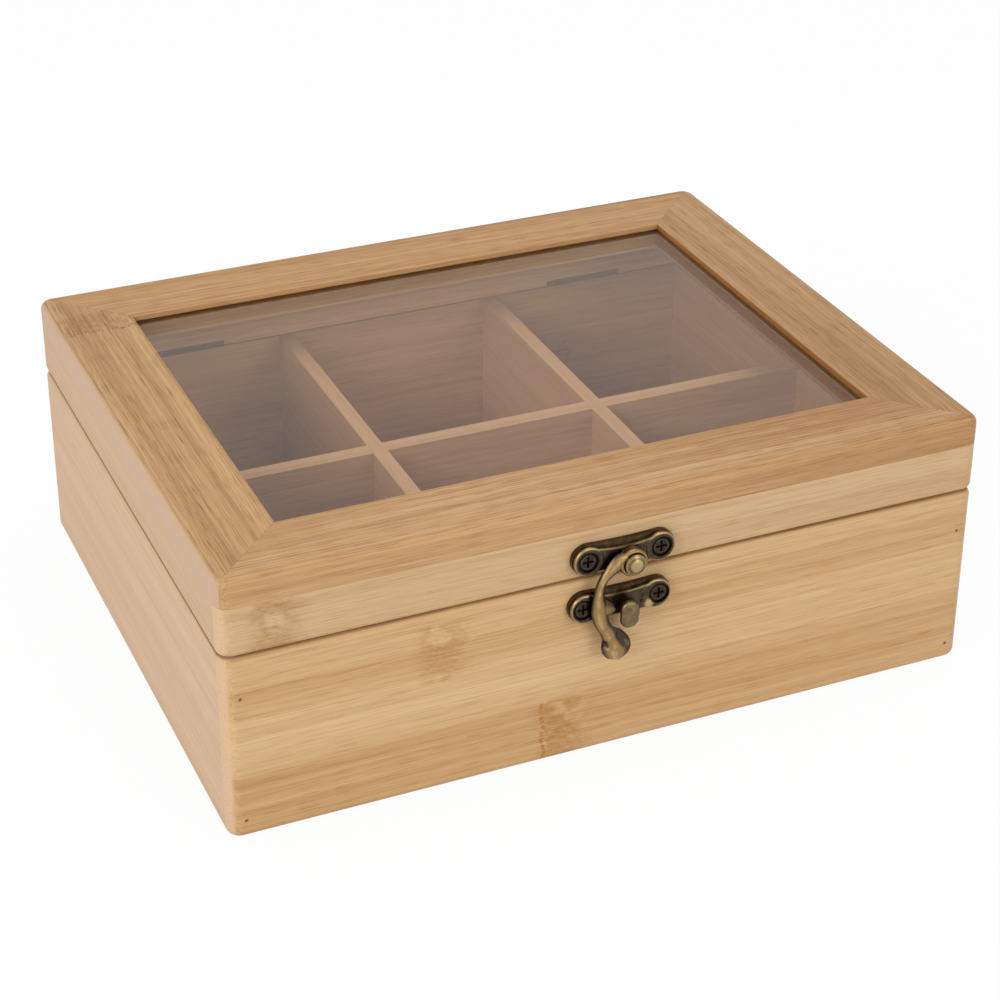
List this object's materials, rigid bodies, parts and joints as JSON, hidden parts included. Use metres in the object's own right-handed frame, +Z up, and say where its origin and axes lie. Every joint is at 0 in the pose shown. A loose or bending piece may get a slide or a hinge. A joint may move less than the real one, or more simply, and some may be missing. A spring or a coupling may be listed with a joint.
{
  "type": "hinged tea box",
  "caption": "Flat wooden tea box with dividers inside, a hinged lid that frames a clear pane, and a swing-hook latch at the front.",
  "frame": {"origin": "middle of the underside of the box, on the surface it stands on", "axes": "+X to the right along the front, +Y to the back, +Z up; the latch faces -Y"},
  "size_m": [0.215, 0.184, 0.0765],
  "materials": {
    "frame_bamboo": "satin lacquered bamboo, honey tone",
    "front_bamboo": "satin lacquered bamboo, light honey tone",
    "side_bamboo": "satin lacquered bamboo, pale tone",
    "inner_bamboo": "sanded bamboo",
    "clear_pane": "clear acrylic, polished",
    "antique_bronze": "antiqued, worn bright on the edges",
    "worn_bronze": "antiqued, worn bright",
    "dark_screws": "blackened",
    "brad_steel": "dull"
  },
  "bodies": {
    "box": {"box_front_board": "front_bamboo", "box_back_board": "front_bamboo", "box_left_board": "side_bamboo", "box_right_board": "side_bamboo", "box_base_panel": "inner_bamboo", "long_divider": "inner_bamboo", "cross_divider_left": "inner_bamboo", "cross_divider_right": "inner_bamboo", "box_brads": "brad_steel", "strike_plate": "antique_bronze", "strike_screws": "dark_screws", "hinge_left_box_leaf": "antique_bronze", "hinge_right_box_leaf": "antique_bronze", "hinge_left_pin": "antique_bronze", "hinge_right_pin": "antique_bronze", "hinge_box_screws": "antique_bronze"},
    "lid": {"lid_rim_front": "front_bamboo", "lid_rim_back": "front_bamboo", "lid_rim_left": "side_bamboo", "lid_rim_right": "side_bamboo", "lid_frame_front": "frame_bamboo", "lid_frame_back": "frame_bamboo", "lid_frame_left": "frame_bamboo", "lid_frame_right": "frame_bamboo", "lid_pane": "clear_pane", "hinge_left_lid_leaf": "antique_bronze", "hinge_right_lid_leaf": "antique_bronze", "hinge_lid_screws": "antique_bronze", "latch_plate": "antique_bronze", "latch_screws": "dark_screws", "latch_rivet": "worn_bronze"},
    "hook": {"latch_hook": "worn_bronze"}
  },
  "joints": [
    {"name": "lid_hinge", "type": "hinge", "parent": "box", "child": "lid", "pos_m": [0, 0.088, 0.05505], "axis": [-1, 0, 0], "range_deg": [0, 100]},
    {"name": "latch_swing", "type": "hinge", "parent": "lid", "child": "hook", "pos_m": [0.0017, -0.086, 0.0587], "axis": [0, 1, 0], "range_deg": [-10, 110]}
  ]
}
